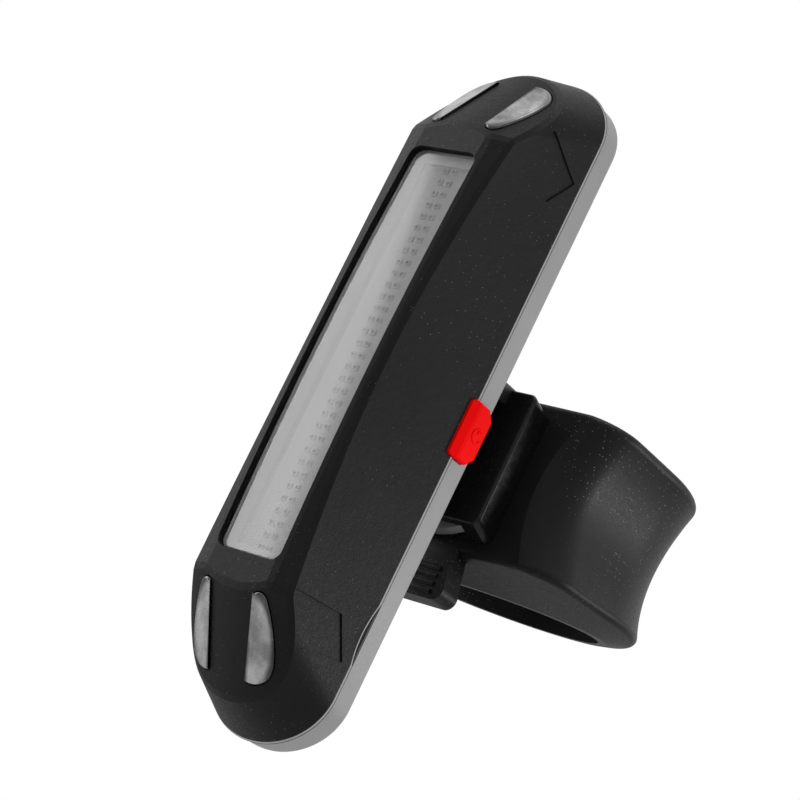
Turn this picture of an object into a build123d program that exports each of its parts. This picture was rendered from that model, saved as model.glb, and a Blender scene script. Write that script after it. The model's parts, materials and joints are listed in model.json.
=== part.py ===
# Bike rear light: a long light head with a tongue clip, and a bracket held on a seat post by a rubber
# strap. The origin lies on the axis of the seat post, level with the middle of the light head.
# +Z runs up the light, the window faces -Y, and the button is on the +X side.
# Depths are measured backwards from the rim of the window.
from build123d import *
from math import atan, cos
import os

os.makedirs("parts", exist_ok=True)

# Driving sizes, in millimetres
case_length = 100.0
case_width = 21.0
case_depth = 23.4
post_diameter = 27.2
fit_gap = 0.1
seat_gap = 0.05
slide_gap = 0.15
overrun = 5.0

# Front shell
shell_wall = 1.2
skirt_overhang = 0.3
skirt_end = 8.7
rear_height = 6.8
ridge_margin = 1.5
ridge_flare = 1.6
ridge_setback = 7.0
ridge_end = 9.4
face_rim = 0.2
face_bevel_share = 0.387
crown_radius = 480.0
shell_edge = 0.5
ramp_run = 24.0
ramp_overshoot = 2.0
ramp_rise = 2.9
ramp_end_height = 4.0
ramp_start_sag = 2.4
ramp_stop_sag = 4.3
ramp_margin = 0.2
panel_recess = 0.25
nail_notch_radius = 15.1
nail_notch_offset = 14.0
nail_notch_drop = 3.3
nail_notch_from_end = 17.8

# Recessed panels on the flanks: corners as shares of half the case length and of the parting depth
lower_panel_shares = [(-0.642, 0.169), (-0.632, 0.687), (-0.736, 0.892), (-0.766, 0.44)]
upper_panel_shares = [(0.644, 0.175), (0.6, 0.735), (0.692, 0.91), (0.77, 0.482)]

# Window, lens and light strip
window_width = 11.4
window_end_gap = 3.35
window_corner = 1.6
lens_inset = 0.95
lens_lip = 0.35
lens_end_lip = 0.7
lens_bevel = 0.3
tray_depth = 3.9
tray_height = 1.0
tray_side_margin = 0.5
tray_end_margin = 0.45
tray_rim = 2.0
tray_tab_width = 5.2
tray_tab_gap = 0.3
tray_post_radius = 0.9
tray_post_margin = 2.0
tray_post_proud = 0.4
led_board_side_margin = 0.6
led_board_end_margin = 0.95
led_board_thickness = 0.8
chip_size = 0.75
chip_height = 0.45
chip_pitch = 1.75
chip_spread = 1.46

# Silver inlays: outline as shares of their width and length, from the middle and from the inner end
inlay_length = 10.2
inlay_width = 3.9
inlay_from_end = 15.8
inlay_from_middle = 3.4
inlay_sunk = 0.6
inlay_proud = 0.35
inlay_edge = 0.3
inlay_shares = [(0.0, 1.0), (0.72, 0.92), (1.0, 0.67), (0.9, 0.35), (0.64, 0.06), (0.38, 0.0), (0.13, 0.04)]

# Rear shell and seal
seal_thickness = 0.35
seal_recess = 0.35
bevel_height = 3.3
rear_wall = 2.0
rear_floor = 1.6
rear_bevel = 3.2
rear_end = 8.4
rear_edge = 0.6
lip_inset = 1.2
lip_height = 0.8

# Button and switch
button_length = 8.2
button_height = 4.7
button_above_seam = 1.3
button_level = -2.0
button_proud = 1.0
button_corner = 1.3
button_front_corner = 0.35
button_bevel_run = 1.4
button_bevel_rise = 0.6
button_edge = 0.25
button_flange = 0.8
flange_overhang = 1.0
flange_front = 0.6
button_travel = 0.4
stem_radius = 1.1
stem_length = 1.0
switch_length = 6.0
switch_height = 3.0
switch_width = 3.6
plunger_radius = 0.75
plunger_reach = 0.8

# Boards, battery and what is on them
board_thickness = 0.8
board_margin = 1.0
board_end_gap = 1.2
board_screw_end = 3.0
board_notch_depth = 0.8
board_notch_length = 12.0
battery_width = 12.0
battery_gap = 3.1
battery_end_gap = 8.7
battery_corner = 1.2
pad_thickness = 1.2
pad_side_margin = 1.5
pad_end_margin = 5.0
usb_width = 7.5
usb_height = 2.5
usb_length = 5.3
usb_wall = 0.3
usb_from_end = 8.5
usb_tongue = 0.6
usb_opening_length = 7.3
usb_opening_height = 2.0
cover_length = 10.6
cover_height = 2.4
cover_thickness = 0.9
cover_plug = 1.0
controller_side = 5.0
controller_height = 1.2
controller_level = 8.0
charge_led_side = 1.6
charge_led_height = 0.7
charge_led_from_usb = 8.0
coil_radius = 2.1
coil_height = 2.0
coil_from_led = 5.0
small_part_length = 1.6
small_part_width = 0.8
small_part_pitch = 2.6
lead_diameter = 0.8
lead_from_middle = 2.8
lead_spread = 1.2
lead_bend = 1.6
lead_shift = 1.1
led_lead_gap = 2.3
led_lead_run = 2.5
battery_lead_run = 2.2

# Screws
screw_radius = 1.0
screw_head_radius = 1.75
screw_head_height = 1.3
screw_head_bevel = 0.3
screw_gap = 0.05
boss_wall = 1.3
head_wall = 0.8
head_gap = 0.25
case_screw_wall_gap = 3.9
case_screw_end = 12.0
case_screw_length = 8.0
counterbore_depth = 2.0
board_screw_length = 4.0
clip_screw_length = 5.5
hole_end_gap = 0.4

# Clip on the back of the light
clip_thickness = 1.8
clip_width = 14.0
clip_base_width = 12.0
clip_base_rise = 14.2
clip_corner = 2.0
clip_shoulder = 2.6
clip_tip_reach = 2.0
clip_tip_round = 1.8
clip_screw_pitch = 5.0
clip_boss_height = 2.6

# Bracket block
block_width = 21.0
block_top = 8.8
block_bottom = -11.0
block_gap = 3.5
block_thickness = 4.5
block_drop = 1.3
block_corner = 1.2
block_edge = 0.5
slot_front_wall = 1.25
foot_neck_width = 11.0
foot_neck_length = 1.8
foot_width = 15.0
foot_thickness = 2.0
foot_margin = 3.0
foot_rubber = 4.2

# Rubber strap
rim_above_block = 0.5
rim_reach = 8.1
rim_shoulder = 7.0
rim_centre = -5.0
rim_edge = 0.9
waist_level = -1.8
waist_reach = 4.7
waist_centre = -2.5
rim_below_block = 1.6
lower_rim_slope = 0.0656
front_overlap = 0.3
collar_wall = 1.5
collar_rise = 1.0
lower_collar_drop = 1.7
lower_collar_slope = 0.147
collar_front_angle = 20.0
collar_shoulder_angle = 45.0
tab_width = 16.0
tab_root_width = 11.0
tab_from_block = 3.1
tab_thickness = 3.6
tab_below_rim = 0.2
tab_length = 9.0
tab_step_length = 2.5
tab_setback = 1.4
tab_corner = 1.5
tab_rib_radius = 0.45
tab_rib_proud = 0.25
tab_rib_pitch = 1.1
tab_rib_drop = 4.6
tab_ribs = 4

# Sizes that follow from those above
skirt_width = case_width + 2 * skirt_overhang
rear_length = case_length - 2 * skirt_overhang
parting_depth = case_depth - rear_height
rear_depth = parting_depth + seal_thickness
band_depth = case_depth - bevel_height
floor_depth = case_depth - rear_floor
inner_half = case_width / 2 - rear_wall
ramp_chord = skirt_width + 2 * ramp_margin
ramp_stop = case_length / 2 + ramp_overshoot
ramp_start = ramp_stop - ramp_run
ramp_drop = parting_depth - ramp_end_height
ramp_slope = (ramp_drop + ramp_rise) / ramp_run
ridge_width = window_width + 2 * ridge_margin
ridge_length = case_length - 2 * ridge_setback
face_width = window_width + 2 * face_rim
nail_notch_level = nail_notch_from_end - case_length / 2
inlay_start = case_length / 2 - inlay_from_end

boss_radius = screw_radius + boss_wall
head_boss_radius = screw_head_radius + head_gap + head_wall
case_screw_side = inner_half - case_screw_wall_gap
case_screw_level = case_length / 2 - case_screw_end
screw_seat = case_depth - counterbore_depth
tray_end = case_screw_level - boss_radius - tray_tab_gap
tray_post_level = tray_end - tray_post_margin
window_length = 2 * (tray_post_level - window_end_gap)
tray_width = window_width + 2 * tray_side_margin
tray_length = window_length + 2 * tray_end_margin
lens_back = tray_depth - seat_gap
led_board_width = window_width + 2 * led_board_side_margin
led_board_length = window_length + 2 * led_board_end_margin
led_board_depth = tray_depth + tray_height
led_board_back = led_board_depth + led_board_thickness
chip_rows = int(window_length / chip_pitch) - 1
battery_front = led_board_back + pad_thickness
battery_height = parting_depth - battery_gap - battery_front
battery_end = case_screw_level - boss_radius - battery_end_gap
battery_lead_depth = battery_front + battery_height / 2
led_lead_level = battery_end + led_lead_gap

board_back = parting_depth + board_thickness
board_width = 2 * (inner_half - board_margin)
board_end = case_screw_level - head_boss_radius - board_end_gap
board_screw_level = board_end - board_screw_end
button_depth = parting_depth - button_above_seam
button_middle = button_depth + button_height / 2
button_face = case_width / 2 + button_proud
flange_face = inner_half - seat_gap
flange_back = flange_face - button_flange
stem_end = flange_back - stem_length
plunger_tip = stem_end - seat_gap
switch_face = plunger_tip - plunger_reach
switch_middle = board_back + switch_height / 2
usb_middle = board_back + usb_height / 2
usb_mouth = inner_half - fit_gap
usb_level = usb_from_end - board_end
charge_led_level = usb_level + charge_led_from_usb
coil_level = charge_led_level + coil_from_led

block_front = case_depth + block_gap
block_back = block_front + block_thickness
block_middle = (block_top + block_bottom) / 2
block_height = block_top - block_bottom
foot_end = block_back + foot_neck_length + foot_thickness
post_radius = post_diameter / 2
post_to_window = foot_end + foot_rubber + post_radius
slot_front = block_front + slot_front_wall
tongue_front = slot_front + slide_gap
tongue_back = tongue_front + clip_thickness
notch_floor = block_top - clip_shoulder
clip_seat = notch_floor + seat_gap
clip_base_back = case_depth + clip_thickness
clip_base_top = block_top + clip_base_rise
clip_screw_level = (block_top + clip_base_top) / 2
clip_tip = clip_tip_reach - block_bottom

rim_half = post_radius + rim_reach
rim_level = block_top + rim_above_block
waist_half = post_radius + waist_reach
lower_rim_level = block_bottom - rim_below_block
collar_radius = post_radius + collar_wall
collar_level = rim_level + collar_rise
lower_collar_level = lower_rim_level - lower_collar_drop
tab_front = block_front + tab_from_block
tab_top = lower_rim_level - tab_below_rim
tab_step = tab_top - tab_step_length
tab_bottom = tab_top - tab_length
tab_rib_level = tab_top - tab_rib_drop


def depth_plane(depth):
    """Plane across the light at this depth behind the window's rim, facing the front."""
    return Plane.XZ.offset(post_to_window - depth)


def at_depth(depth):
    """Y of a depth behind the window's rim."""
    return depth - post_to_window


def case_outline(width, length, end, inset=0.0, waist=0.0):
    """Outline of the case seen from the front: long sides, drawn in at the middle, and round ends."""
    half, straight = width / 2 - inset, length / 2 - end
    with BuildSketch() as outline:
        with BuildLine():
            if waist:
                ThreePointArc((half, -straight), (half - waist, 0), (half, straight))
            else:
                Line((half, -straight), (half, straight))
            EllipticalCenterArc((0, straight), half, end - inset, 0, arc_size=180)
            if waist:
                ThreePointArc((-half, straight), (waist - half, 0), (-half, -straight))
            else:
                Line((-half, straight), (-half, -straight))
            EllipticalCenterArc((0, -straight), half, end - inset, 180, arc_size=180)
        make_face()
    return outline.sketch


def rear_outline(inset):
    """Outline of the rear shell, moved in by inset."""
    return case_outline(case_width, rear_length, rear_end, inset)


def crowned_slab(front, half_width, bevel_from):
    """Slab whose front follows the crown of the face; past bevel_from its front slopes back."""
    slope = (half_width - bevel_from) * face_bevel_share
    with BuildPart() as slab:
        with BuildSketch(Plane.XY):
            with BuildLine():
                Polyline(
                    (half_width, at_depth(front + slope)), (half_width, at_depth(case_depth)),
                    (-half_width, at_depth(case_depth)), (-half_width, at_depth(front + slope)),
                    (-bevel_from, at_depth(front)), (bevel_from, at_depth(front)), close=True,
                )
            make_face()
        revolve(axis=Axis((0, at_depth(crown_radius), 0), (1, 0, 0)))
    return slab.part


def ramp_arch(crest, sag):
    """Section across an end lobe: an arch over the width, on a body that reaches to the back."""
    half = ramp_chord / 2
    with BuildSketch() as arch:
        with BuildLine():
            ThreePointArc((-half, at_depth(crest + sag)), (0, at_depth(crest)), (half, at_depth(crest + sag)))
            Polyline(
                (half, at_depth(crest + sag)), (half, at_depth(case_depth)),
                (-half, at_depth(case_depth)), (-half, at_depth(crest + sag)),
            )
        make_face()
    return arch.sketch


def lobe_envelope(sink):
    """Space under the ramps of both end lobes, moved in by sink, with the middle left free."""
    shift = sink / cos(atan(ramp_slope))
    with BuildPart() as envelope:
        for end in (1, -1):
            with BuildSketch(Plane.XY.offset(end * ramp_start)):
                add(ramp_arch(shift - ramp_rise, ramp_start_sag))
            with BuildSketch(Plane.XY.offset(end * ramp_stop)):
                add(ramp_arch(shift + ramp_drop, ramp_stop_sag))
            loft(ruled=True)
        with BuildSketch(depth_plane(case_depth)):
            Rectangle(ramp_chord, 2 * ramp_start)
        extrude(amount=case_depth + ramp_rise - shift)
    return envelope.part


def shell_hull(inset):
    """Outer form of the front shell, with every face moved in by inset."""
    slab = crowned_slab(inset, ramp_chord / 2 + overrun, face_width / 2)
    envelope = lobe_envelope(inset)
    top_width = ridge_width + 2 * ridge_flare
    with BuildPart() as hull:
        with BuildSketch(depth_plane(parting_depth)):
            add(case_outline(skirt_width, case_length, skirt_end, inset))
        with BuildSketch(depth_plane(0)):
            add(case_outline(top_width, ridge_length, ridge_end, inset, ridge_flare))
        loft(ruled=True)
        add(slab, mode=Mode.INTERSECT)
        add(envelope, mode=Mode.INTERSECT)
    return hull.part


def inlay_column(side, end, gap):
    """Column through an end lobe with the outline of a silver inlay, grown by gap."""
    points = []
    for across, along in inlay_shares:
        x = side * (inlay_from_middle + across * inlay_width)
        points.append((x, end * (inlay_start + along * inlay_length)))
    with BuildPart() as column:
        with BuildSketch(depth_plane(parting_depth)):
            with BuildLine():
                ThreePointArc(points[0], points[1], points[2])
                ThreePointArc(points[2], points[3], points[4])
                ThreePointArc(points[4], points[5], points[6])
                Line(points[6], points[0])
            make_face()
            if gap:
                offset(amount=gap)
        extrude(amount=parting_depth + overrun)
    return column.part


def flank_prism(shares):
    """Block across the case with the outline of a flank panel."""
    corners = []
    for along, deep in shares:
        corners.append((at_depth(deep * parting_depth), along * case_length / 2))
    with BuildPart() as prism:
        with BuildSketch(Plane.YZ):
            Polygon(*corners, align=None)
        extrude(amount=case_width, both=True)
    return prism.part


def columns(radius, points, back, front):
    """Round columns at these points, from a depth at the back to one at the front."""
    with BuildPart() as group:
        with BuildSketch(depth_plane(back)):
            with Locations(*points):
                Circle(radius)
        extrude(amount=back - front)
    return group.part


def plate(width, length, back, front, corner=0.0, level=0.0, side=0.0):
    """Flat plate across the light, between two depths."""
    with BuildPart() as slab:
        with BuildSketch(depth_plane(back)):
            with Locations((side, level)):
                if corner:
                    RectangleRounded(width, length, corner)
                else:
                    Rectangle(width, length)
        extrude(amount=back - front)
    return slab.part


def button_column(gap, inner, outer):
    """Body with the outline of the button, grown by gap, between two distances from the middle."""
    with BuildPart() as column:
        with BuildSketch(Plane.YZ.offset(inner)) as outline:
            with Locations((at_depth(button_middle), button_level)):
                Rectangle(button_height + 2 * gap, button_length + 2 * gap)
            corners = outline.vertices().sort_by(Axis.X)
            chamfer(corners[-2:], button_corner)
            chamfer(corners[:2], button_front_corner)
        extrude(amount=outer - inner)
    return column.part


def side_block(height, length, middle, level, inner, outer):
    """Block between two distances from the middle, at a depth and a level."""
    with BuildPart() as block:
        with BuildSketch(Plane.YZ.offset(inner)):
            with Locations((at_depth(middle), level)):
                Rectangle(height, length)
        extrude(amount=outer - inner)
    return block.part


case_screw_points = []
for side in (1, -1):
    for end in (1, -1):
        case_screw_points.append((side * case_screw_side, end * case_screw_level))
board_screw_points = [(0, board_screw_level), (0, -board_screw_level)]
tray_post_points = [(0, tray_post_level), (0, -tray_post_level)]
clip_screw_points = [
    (0, clip_screw_level - clip_screw_pitch / 2), (0, clip_screw_level + clip_screw_pitch / 2),
]

# Front shell: the hollow leaves its screw bosses and the posts of the light tray standing
with BuildPart() as hollow:
    add(shell_hull(shell_wall))
    add(columns(boss_radius, case_screw_points, parting_depth, 0), mode=Mode.SUBTRACT)
    post_end = led_board_depth + tray_post_proud
    add(columns(tray_post_radius, tray_post_points, post_end, 0), mode=Mode.SUBTRACT)
lobes_below_inlays = lobe_envelope(inlay_sunk)
panel_floor = shell_hull(panel_recess)

with BuildPart() as front_shell:
    add(shell_hull(0))
    skirt_from = at_depth(parting_depth - shell_edge)
    chamfer(front_shell.edges().filter_by(lambda edge: edge.center().Y < skirt_from), shell_edge)
    add(hollow.part, mode=Mode.SUBTRACT)
    with BuildSketch(depth_plane(tray_depth)):
        RectangleRounded(window_width, window_length, window_corner)
    extrude(amount=tray_depth + overrun, mode=Mode.SUBTRACT)
    for side in (1, -1):
        for end in (1, -1):
            add(inlay_column(side, end, fit_gap) - lobes_below_inlays, mode=Mode.SUBTRACT)
    for shares in (lower_panel_shares, upper_panel_shares):
        add(flank_prism(shares) - panel_floor, mode=Mode.SUBTRACT)
    notch_side = skirt_width / 2 + nail_notch_offset
    with Locations((notch_side, at_depth(parting_depth + nail_notch_drop), nail_notch_level)):
        Sphere(nail_notch_radius, mode=Mode.SUBTRACT)
    add(button_column(fit_gap, flange_face, case_width), mode=Mode.SUBTRACT)
    pilot_end = screw_seat - case_screw_length - hole_end_gap
    add(columns(screw_radius + screw_gap, case_screw_points, parting_depth, pilot_end), mode=Mode.SUBTRACT)

# Four silver inlays, each on the floor of its pocket and a little proud of the lobe
lobes_over_inlays = lobe_envelope(-inlay_proud)
inlays = {}
for end, end_name in ((1, "top"), (-1, "bottom")):
    for side, side_name in ((-1, "left"), (1, "right")):
        with BuildPart() as inlay:
            add(inlay_column(side, end, 0))
            add(lobes_over_inlays, mode=Mode.INTERSECT)
            add(lobes_below_inlays, mode=Mode.SUBTRACT)
            fillet(inlay.faces().sort_by(Axis.Y)[0].edges(), inlay_edge)
        inlays["inlay_" + end_name + "_" + side_name] = inlay.part

# Clear lens: its face follows the crown, and its flat back lies on the light tray
lens_width = window_width - 2 * fit_gap
lens_length = window_length - 2 * fit_gap
with BuildPart() as window_lens:
    add(plate(lens_width, lens_length, lens_back, -overrun, window_corner - fit_gap))
    add(crowned_slab(lens_inset, ramp_chord, window_width), mode=Mode.INTERSECT)
    chamfer(window_lens.faces().sort_by(Axis.Y)[0].edges(), lens_bevel)
    flange_width = window_width + 2 * lens_lip
    flange_length = window_length + 2 * lens_end_lip
    lens_flange = plate(flange_width, flange_length, lens_back, -overrun, window_corner)
    add(lens_flange & crowned_slab(shell_wall + fit_gap, ramp_chord, window_width))

# Light tray with a tab at each end, held on two posts of the front shell
with BuildPart() as light_tray:
    add(plate(tray_width, tray_length, led_board_depth, tray_depth, window_corner))
    add(plate(tray_tab_width, 2 * tray_end, led_board_depth, tray_depth, window_corner))
    opening_width = tray_width - 2 * tray_rim
    opening_length = tray_length - 2 * tray_rim
    add(plate(opening_width, opening_length, led_board_depth, tray_depth), mode=Mode.SUBTRACT)
    post_hole_radius = tray_post_radius + fit_gap
    add(columns(post_hole_radius, tray_post_points, led_board_depth, tray_depth), mode=Mode.SUBTRACT)

# Light strip: a long board with two rows of chips on its face
with BuildPart() as led_board:
    add(plate(led_board_width, led_board_length, led_board_back, led_board_depth, window_corner))
with BuildPart() as led_chips:
    with BuildSketch(depth_plane(led_board_depth)):
        with GridLocations(chip_spread, chip_pitch, 2, chip_rows):
            Rectangle(chip_size, chip_size)
    extrude(amount=chip_height)

# Battery on its foam pad, behind the light strip
with BuildPart() as battery_pad:
    pad_width = battery_width - 2 * pad_side_margin
    add(plate(pad_width, 2 * (battery_end - pad_end_margin), battery_front, led_board_back))
with BuildPart() as battery:
    with BuildSketch(Plane.XY.offset(-battery_end)):
        with Locations((0, at_depth(battery_front + battery_height / 2))):
            RectangleRounded(battery_width, battery_height, battery_corner)
    extrude(amount=2 * battery_end)

# Rear shell: the grey band and its bevelled back, hollow, with a lip that reaches into the front shell
bevel_slope = rear_bevel / bevel_height


def rear_hull(inset, back):
    """Band and bevelled back of the rear shell, moved in by inset and cut off at a depth."""
    with BuildPart() as hull:
        with BuildSketch(depth_plane(band_depth)):
            add(rear_outline(inset))
        extrude(amount=band_depth - rear_depth)
        with BuildSketch(depth_plane(band_depth)):
            add(rear_outline(inset))
        with BuildSketch(depth_plane(back)):
            add(rear_outline(inset + (back - band_depth) * bevel_slope))
        loft(ruled=True)
    return hull.part


with BuildPart() as cavity:
    add(rear_hull(rear_wall, floor_depth))
    add(columns(head_boss_radius, case_screw_points, floor_depth, rear_depth), mode=Mode.SUBTRACT)
    add(columns(boss_radius, board_screw_points, floor_depth, board_back), mode=Mode.SUBTRACT)
    clip_boss_front = floor_depth - clip_boss_height
    add(columns(boss_radius, clip_screw_points, floor_depth, clip_boss_front), mode=Mode.SUBTRACT)
with BuildPart() as rear_shell:
    add(rear_hull(0, case_depth))
    bevel_from = at_depth(band_depth - rear_edge)
    fillet(rear_shell.edges().filter_by(lambda edge: edge.center().Y > bevel_from), rear_edge)
    add(cavity.part, mode=Mode.SUBTRACT)
    with BuildSketch(depth_plane(rear_depth)):
        add(rear_outline(lip_inset))
        add(rear_outline(rear_wall), mode=Mode.SUBTRACT)
    extrude(amount=lip_height)
    add(columns(head_boss_radius, case_screw_points, rear_depth, parting_depth + seat_gap))
    hole_radius = screw_radius + fit_gap
    add(columns(hole_radius, case_screw_points, case_depth, parting_depth), mode=Mode.SUBTRACT)
    head_hole_radius = screw_head_radius + head_gap
    add(columns(head_hole_radius, case_screw_points, case_depth, screw_seat), mode=Mode.SUBTRACT)
    pilot_radius = screw_radius + screw_gap
    board_pilot_end = parting_depth + board_screw_length + hole_end_gap
    add(columns(pilot_radius, board_screw_points, board_pilot_end, parting_depth), mode=Mode.SUBTRACT)
    add(columns(pilot_radius, clip_screw_points, case_depth, clip_boss_front), mode=Mode.SUBTRACT)
    add(button_column(fit_gap, flange_face, case_width), mode=Mode.SUBTRACT)
    opening = side_block(
        usb_opening_height, usb_opening_length, usb_middle, usb_level, -case_width, -usb_mouth + fit_gap,
    )
    add(opening, mode=Mode.SUBTRACT)
    recess = side_block(
        cover_height + 2 * fit_gap, cover_length + 2 * fit_gap, usb_middle, usb_level,
        -case_width, cover_thickness - case_width / 2,
    )
    add(recess, mode=Mode.SUBTRACT)

# Seal in the seam between the two shells, open where the button passes
with BuildPart() as case_seal:
    with BuildSketch(depth_plane(rear_depth)):
        add(rear_outline(seal_recess))
        add(rear_outline(lip_inset - fit_gap), mode=Mode.SUBTRACT)
    extrude(amount=seal_thickness)
    add(button_column(fit_gap, flange_face, case_width), mode=Mode.SUBTRACT)

# Button: a cap with a wide bevel in front, a flange behind the wall and a stem that reaches to the switch
with BuildPart() as power_button:
    add(button_column(0, flange_face, button_face))
    with BuildSketch(Plane.XY.offset(button_level - button_length)):
        with BuildLine():
            Polyline(
                (button_face, at_depth(button_depth + button_bevel_run)),
                (button_face - button_bevel_rise, at_depth(button_depth)),
                (button_face - button_bevel_rise, at_depth(button_depth - overrun)),
                (button_face + overrun, at_depth(button_depth - overrun)),
                (button_face + overrun, at_depth(button_depth + button_bevel_run)), close=True,
            )
        make_face()
    extrude(amount=2 * button_length, mode=Mode.SUBTRACT)
    chamfer(power_button.faces().sort_by(Axis.X)[-1].edges(), button_edge)
    flange_height = button_height + flange_front
    add(side_block(
        flange_height, button_length + 2 * flange_overhang, button_middle - flange_front / 2, button_level,
        flange_back, flange_face,
    ))
    with BuildSketch(Plane.YZ.offset(stem_end)):
        with Locations((at_depth(switch_middle), button_level)):
            Circle(stem_radius)
    extrude(amount=stem_length)

# Side-push switch on the main board
with BuildPart() as switch_body:
    add(side_block(
        switch_height, switch_length, switch_middle, button_level, switch_face - switch_width, switch_face,
    ))
    bore_end = switch_face - plunger_reach - button_travel - fit_gap
    with BuildSketch(Plane.YZ.offset(bore_end)):
        with Locations((at_depth(switch_middle), button_level)):
            Circle(plunger_radius + seat_gap)
    extrude(amount=switch_face - bore_end, mode=Mode.SUBTRACT)
with BuildPart() as switch_plunger:
    with BuildSketch(Plane.YZ.offset(switch_face - plunger_reach)):
        with Locations((at_depth(switch_middle), button_level)):
            Circle(plunger_radius)
    extrude(amount=2 * plunger_reach)

# Main board, notched beside the button
with BuildPart() as main_board:
    add(plate(board_width, 2 * board_end, board_back, parting_depth, window_corner))
    button_notch = plate(
        2 * board_notch_depth, board_notch_length, board_back, parting_depth,
        0, button_level, board_width / 2,
    )
    add(button_notch, mode=Mode.SUBTRACT)
    add(columns(screw_radius + fit_gap, board_screw_points, board_back, parting_depth), mode=Mode.SUBTRACT)
with BuildPart() as controller_chip:
    add(plate(
        controller_side, controller_side, board_back + controller_height, board_back, 0, controller_level,
    ))
with BuildPart() as charge_led:
    led_side = usb_length - usb_mouth
    add(plate(
        charge_led_side / 2, charge_led_side, board_back + charge_led_height, board_back, 0,
        charge_led_level, led_side - charge_led_side,
    ))
with BuildPart() as board_parts:
    add(columns(coil_radius, [(-coil_radius, coil_level)], board_back + coil_height, board_back))
    with BuildSketch(depth_plane(board_back + small_part_width)):
        for level in (-coil_radius, controller_level):
            with Locations((-controller_side, level)):
                with GridLocations(small_part_length, small_part_pitch, 1, 3):
                    Rectangle(small_part_length, small_part_width)
    extrude(amount=small_part_width)

# Charging socket: a thin metal sleeve, closed behind, with its tongue
with BuildPart() as usb_socket:
    add(side_block(usb_height, usb_width, usb_middle, usb_level, -usb_mouth, usb_length - usb_mouth))
    mouth_height = usb_height - 2 * usb_wall
    mouth_width = usb_width - 2 * usb_wall
    mouth_end = usb_length - usb_mouth - usb_wall
    mouth = side_block(mouth_height, mouth_width, usb_middle, usb_level, -usb_mouth, mouth_end)
    add(mouth, mode=Mode.SUBTRACT)
    tongue_width = mouth_width - 2 * usb_tongue
    add(side_block(usb_tongue, tongue_width, usb_middle, usb_level, usb_tongue - usb_mouth, mouth_end))

# Rubber cover of the charging socket, flush with the band, with a plug that fills the opening
with BuildPart() as usb_cover:
    cover_back = cover_thickness - case_width / 2
    add(side_block(cover_height, cover_length, usb_middle, usb_level, -case_width / 2, cover_back))
    plug_height = usb_opening_height - 2 * fit_gap
    plug_length = usb_opening_length - 2 * fit_gap
    add(side_block(plug_height, plug_length, usb_middle, usb_level, cover_back, cover_back + cover_plug))


# Leads from the light strip to the main board, each with an easy double bend
lead_sides = (lead_from_middle - lead_spread / 2, lead_from_middle + lead_spread / 2)
with BuildPart() as led_leads:
    for side in lead_sides:
        with BuildLine(Plane.YZ.offset(-side)) as path:
            FilletPolyline(
                (at_depth(led_board_back), led_lead_level),
                (at_depth(led_board_back + led_lead_run), led_lead_level),
                (at_depth(led_board_back + 2 * led_lead_run), led_lead_level - lead_shift),
                (at_depth(parting_depth), led_lead_level - lead_shift),
                radius=lead_bend,
            )
        with BuildSketch(Plane(origin=path.line @ 0, z_dir=path.line % 0)):
            Circle(lead_diameter / 2)
        sweep(path=path.line)

# Leads from the end of the battery to the main board
with BuildPart() as battery_leads:
    for side in lead_sides:
        with BuildLine(Plane.YZ.offset(side)) as path:
            FilletPolyline(
                (at_depth(battery_lead_depth), battery_end),
                (at_depth(battery_lead_depth), battery_end + battery_lead_run),
                (at_depth(parting_depth), battery_end + battery_lead_run),
                radius=lead_bend,
            )
        with BuildSketch(Plane(origin=path.line @ 0, z_dir=path.line % 0)):
            Circle(lead_diameter / 2)
        sweep(path=path.line)


def screws(points, seat, length, head_behind):
    """Screws with their heads seated at a depth, pointing to the front or to the back."""
    heading = 1 if head_behind else -1
    with BuildPart() as group:
        with BuildSketch(depth_plane(seat)):
            with Locations(*points):
                Circle(screw_radius)
        extrude(amount=heading * length)
        with BuildSketch(depth_plane(seat)):
            with Locations(*points):
                Circle(screw_head_radius)
        extrude(amount=-heading * screw_head_height)
        heads = group.faces().filter_by(Axis.Y).sort_by(Axis.Y)
        outer_faces = heads[-len(points):] if head_behind else heads[:len(points)]
        chamfer(outer_faces.edges(), screw_head_bevel)
    return group.part


case_screws = screws(case_screw_points, screw_seat, case_screw_length, True)
clip_screws = screws(clip_screw_points, clip_base_back, clip_screw_length, True)
board_screws = screws(board_screw_points, parting_depth, board_screw_length, False)

# Clip: a base on the back of the light, a shoulder that rests in the block's notch and a tongue for its slot
with BuildPart() as mount_clip:
    base_middle = (clip_base_top + clip_seat) / 2
    add(plate(
        clip_base_width, clip_base_top - clip_seat, clip_base_back, case_depth, clip_corner, base_middle,
    ))
    shoulder_middle = (block_top + clip_seat) / 2
    add(plate(clip_base_width, block_top - clip_seat, tongue_back, case_depth, 0, shoulder_middle))
    with BuildSketch(depth_plane(tongue_back)):
        with BuildLine():
            tip_side = clip_tip_round - clip_tip
            Polyline(
                (clip_width / 2, tip_side), (clip_width / 2, block_top - block_drop),
                (-clip_width / 2, block_top - block_drop), (-clip_width / 2, tip_side),
            )
            ThreePointArc((-clip_width / 2, tip_side), (0, -clip_tip), (clip_width / 2, tip_side))
        make_face()
    extrude(amount=clip_thickness)
    add(columns(screw_radius + fit_gap, clip_screw_points, clip_base_back, case_depth), mode=Mode.SUBTRACT)


def bracket_foot(gap):
    """Foot behind the block that the rubber grips, grown by gap."""
    height = block_height - 2 * foot_margin + 2 * gap
    neck_end = block_back + foot_neck_length - gap
    neck = plate(foot_neck_width + 2 * gap, height, neck_end, block_back, 0, block_middle)
    flange = plate(foot_width + 2 * gap, height, foot_end + gap, neck_end, 0, block_middle)
    return neck + flange


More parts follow.
